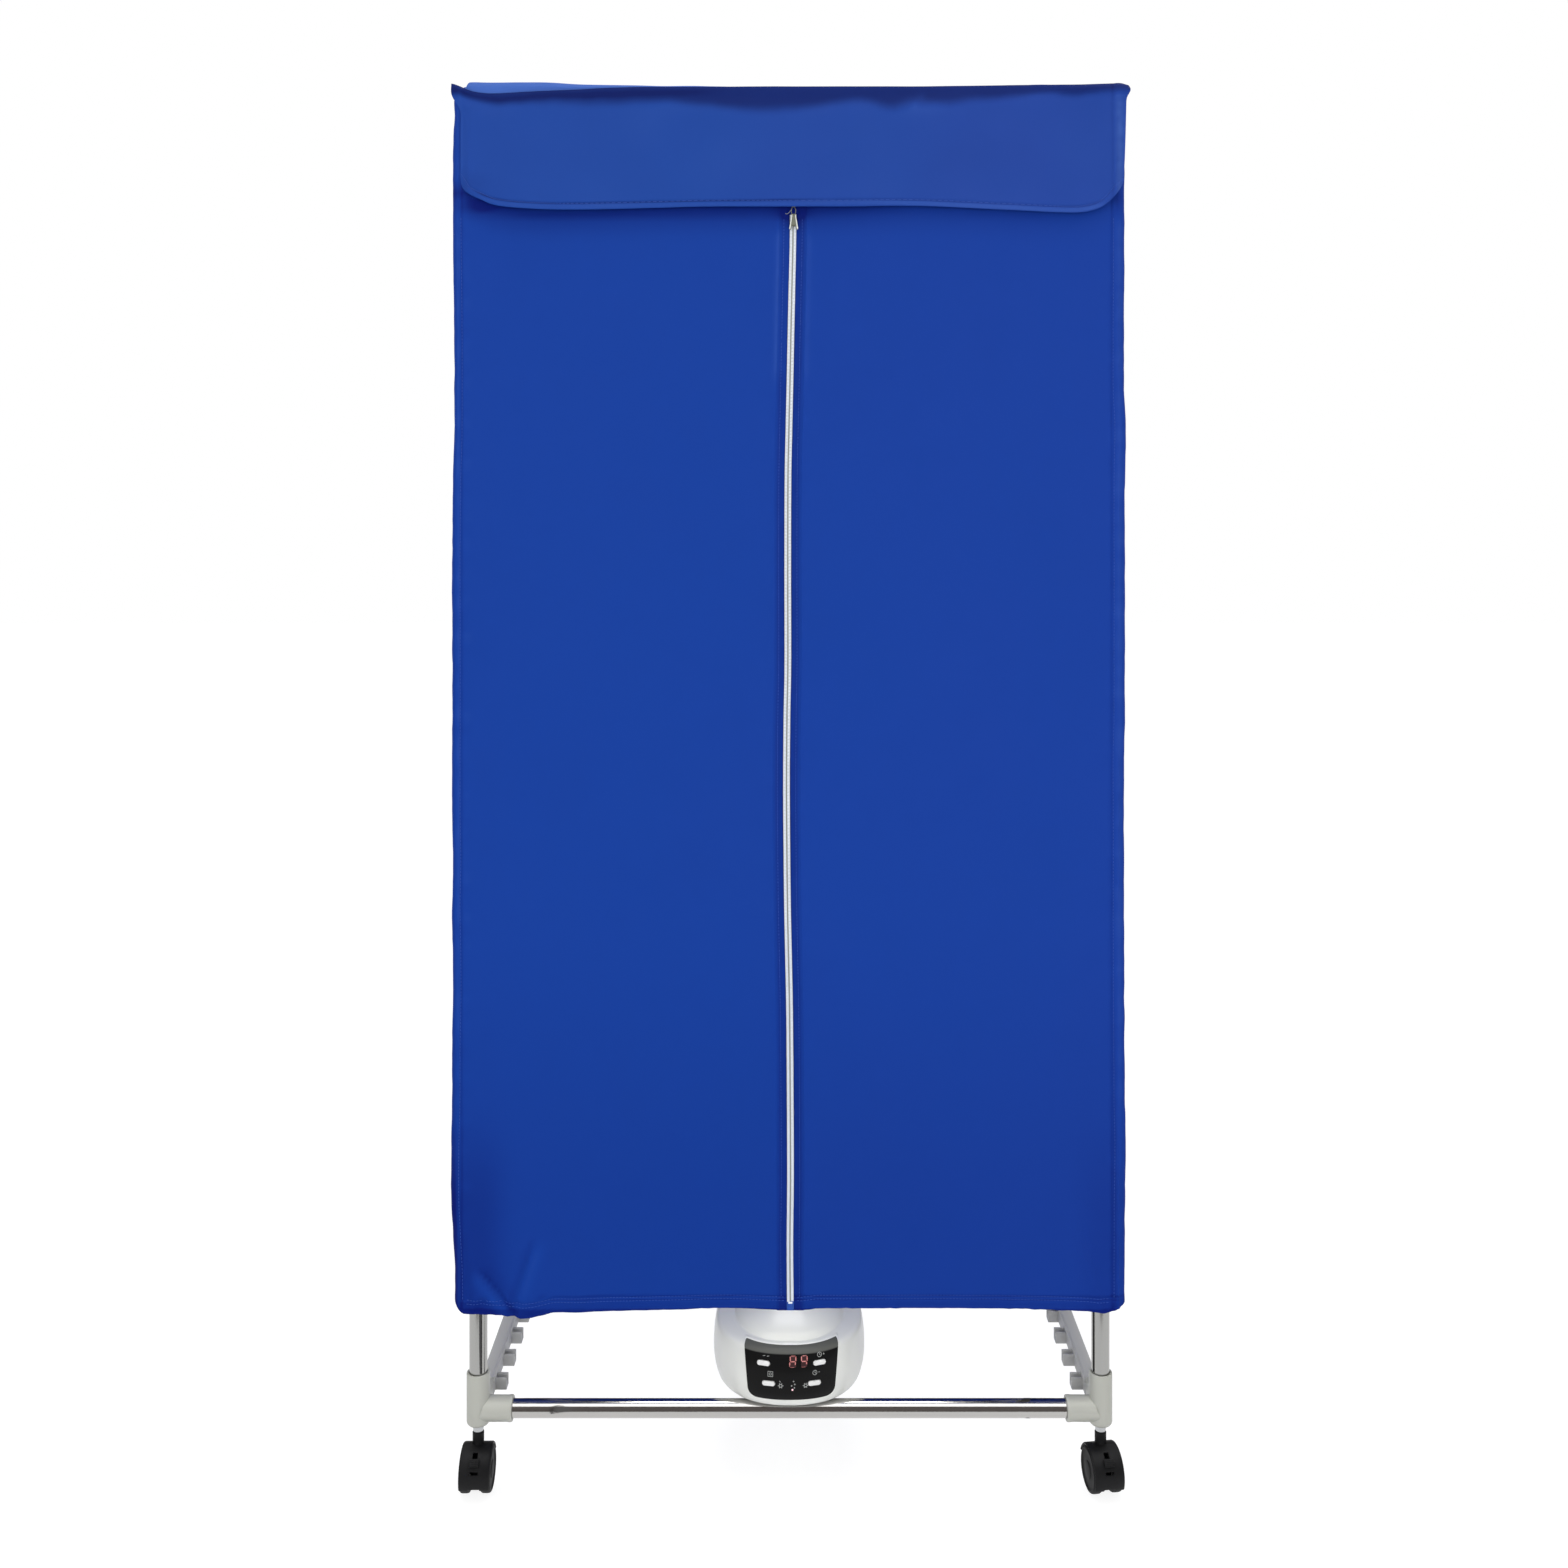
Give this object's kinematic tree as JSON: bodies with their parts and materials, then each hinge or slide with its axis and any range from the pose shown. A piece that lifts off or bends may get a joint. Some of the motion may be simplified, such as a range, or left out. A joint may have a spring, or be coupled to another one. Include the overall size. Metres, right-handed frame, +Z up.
{
  "type": "portable clothes dryer",
  "caption": "Wheeled tube frame on swivel casters with a zipped fabric cover, inner hanging rods and a fan heater with a button panel that lies on the bottom tubes.",
  "frame": {"origin": "on the floor under the centre of the frame", "axes": "+Z up, the zipped front faces -Y, +X to the right as seen from the front"},
  "size_m": [0.7063, 0.4956, 1.4855],
  "materials": {
    "connector_plastic": "moulded, warm off-white",
    "rail_plastic": "moulded, cool grey",
    "tube_steel": "polished stainless",
    "caster_plastic": "moulded, black",
    "stem_zinc": "bright zinc plate",
    "heater_plastic": "moulded, white",
    "panel_gloss": "gloss black",
    "button_plastic": "moulded, white",
    "inner_metal": "as rolled",
    "impeller_plastic": "moulded, black",
    "blue_fabric": "coated polyester, slight sheen",
    "zip_nylon": "nylon coil"
  },
  "bodies": {
    "frame": {"bottom_connector_front_left": "connector_plastic", "bottom_connector_front_right": "connector_plastic", "bottom_connector_rear_left": "connector_plastic", "bottom_connector_rear_right": "connector_plastic", "top_connector_front_left": "connector_plastic", "top_connector_front_right": "connector_plastic", "top_connector_rear_left": "connector_plastic", "top_connector_rear_right": "connector_plastic", "lower_post_front_left": "tube_steel", "lower_post_front_right": "tube_steel", "lower_post_rear_left": "tube_steel", "lower_post_rear_right": "tube_steel", "upper_post_front_left": "tube_steel", "upper_post_front_right": "tube_steel", "upper_post_rear_left": "tube_steel", "upper_post_rear_right": "tube_steel", "bottom_tube_front": "tube_steel", "bottom_tube_rear": "tube_steel", "top_tube_front": "tube_steel", "top_tube_rear": "tube_steel", "bottom_comb_rail_left": "rail_plastic", "bottom_comb_rail_right": "rail_plastic", "top_comb_rail_left": "rail_plastic", "top_comb_rail_right": "rail_plastic", "middle_side_rail_left": "rail_plastic", "middle_side_rail_right": "rail_plastic", "hanging_rod_1": "tube_steel", "hanging_rod_2": "tube_steel", "hanging_rod_3": "tube_steel", "heater_support_rod_left": "tube_steel", "heater_support_rod_right": "tube_steel", "caster_stem_front_left": "stem_zinc", "caster_stem_front_right": "stem_zinc", "caster_stem_rear_left": "stem_zinc", "caster_stem_rear_right": "stem_zinc", "heater_base": "heater_plastic", "heater_shell": "heater_plastic", "control_panel": "panel_gloss", "fan_motor": "inner_metal", "heating_element": "inner_metal", "cover": "blue_fabric", "zip_chain": "zip_nylon"},
    "swivel_front_left": {"caster_hood_front_left": "caster_plastic"},
    "swivel_front_right": {"caster_hood_front_right": "caster_plastic"},
    "swivel_rear_left": {"caster_hood_rear_left": "caster_plastic"},
    "swivel_rear_right": {"caster_hood_rear_right": "caster_plastic"},
    "wheels_front_left": {"caster_wheels_front_left": "caster_plastic"},
    "wheels_front_right": {"caster_wheels_front_right": "caster_plastic"},
    "wheels_rear_left": {"caster_wheels_rear_left": "caster_plastic"},
    "wheels_rear_right": {"caster_wheels_rear_right": "caster_plastic"},
    "brake_front_left": {"brake_lever_front_left": "caster_plastic"},
    "brake_front_right": {"brake_lever_front_right": "caster_plastic"},
    "slider": {"zip_slider": "stem_zinc", "zip_pull": "stem_zinc"},
    "flap": {"cover_flap": "blue_fabric"},
    "key_upper_left": {"button_upper_left": "button_plastic"},
    "key_upper_right": {"button_upper_right": "button_plastic"},
    "key_lower_left": {"button_lower_left": "button_plastic"},
    "key_lower_right": {"button_lower_right": "button_plastic"},
    "fan": {"fan_impeller": "impeller_plastic"}
  },
  "joints": [
    {"name": "swivel_front_left", "type": "hinge", "parent": "frame", "child": "swivel_front_left", "pos_m": [-0.3305, -0.2155, 0.05], "axis": [0, 0, 1], "continuous": true},
    {"name": "swivel_front_right", "type": "hinge", "parent": "frame", "child": "swivel_front_right", "pos_m": [0.3305, -0.2155, 0.05], "axis": [0, 0, 1], "continuous": true},
    {"name": "swivel_rear_left", "type": "hinge", "parent": "frame", "child": "swivel_rear_left", "pos_m": [-0.3305, 0.2155, 0.05], "axis": [0, 0, 1], "continuous": true},
    {"name": "swivel_rear_right", "type": "hinge", "parent": "frame", "child": "swivel_rear_right", "pos_m": [0.3305, 0.2155, 0.05], "axis": [0, 0, 1], "continuous": true},
    {"name": "roll_front_left", "type": "hinge", "parent": "swivel_front_left", "child": "wheels_front_left", "pos_m": [-0.33041, -0.2205, 0.0223], "axis": [0.9998, 0.0175, 0], "continuous": true},
    {"name": "roll_front_right", "type": "hinge", "parent": "swivel_front_right", "child": "wheels_front_right", "pos_m": [0.3312, -0.22045, 0.0223], "axis": [0.9903, 0.1392, 0], "continuous": true},
    {"name": "roll_rear_left", "type": "hinge", "parent": "swivel_rear_left", "child": "wheels_rear_left", "pos_m": [-0.3312, 0.22045, 0.0223], "axis": [0.9903, 0.1392, 0], "continuous": true},
    {"name": "roll_rear_right", "type": "hinge", "parent": "swivel_rear_right", "child": "wheels_rear_right", "pos_m": [0.33041, 0.2205, 0.0223], "axis": [0.9998, 0.0175, 0], "continuous": true},
    {"name": "brake_front_left", "type": "hinge", "parent": "swivel_front_left", "child": "brake_front_left", "pos_m": [-0.33021, -0.23237, 0.03376], "axis": [0.9998, 0.0175, 0], "range_deg": [0, 8]},
    {"name": "brake_front_right", "type": "hinge", "parent": "swivel_front_right", "child": "brake_front_right", "pos_m": [0.33285, -0.2322, 0.03376], "axis": [0.9903, 0.1392, 0], "range_deg": [0, 8]},
    {"name": "zip_slide", "type": "slide", "parent": "frame", "child": "slider", "axis": [0, 0, -1], "range_m": [0, 1.12]},
    {"name": "flap_lift", "type": "hinge", "parent": "frame", "child": "flap", "pos_m": [0, -0.2395, 1.4843], "axis": [-1, 0, 0], "range_deg": [0, 170]},
    {"name": "press_upper_left", "type": "slide", "parent": "frame", "child": "key_upper_left", "axis": [0.2624, 0.965, 0], "range_m": [0, 0.0008], "stiffness_N_per_m": 300},
    {"name": "press_upper_right", "type": "slide", "parent": "frame", "child": "key_upper_right", "axis": [-0.3141, 0.9494, 0], "range_m": [0, 0.0008], "stiffness_N_per_m": 300},
    {"name": "press_lower_left", "type": "slide", "parent": "frame", "child": "key_lower_left", "axis": [0.1975, 0.9803, 0], "range_m": [0, 0.0008], "stiffness_N_per_m": 300},
    {"name": "press_lower_right", "type": "slide", "parent": "frame", "child": "key_lower_right", "axis": [-0.2461, 0.9692, 0], "range_m": [0, 0.0008], "stiffness_N_per_m": 300},
    {"name": "fan_spin", "type": "hinge", "parent": "frame", "child": "fan", "pos_m": [0, -0.1475, 0.125], "axis": [0, 0, 1], "continuous": true}
  ]
}
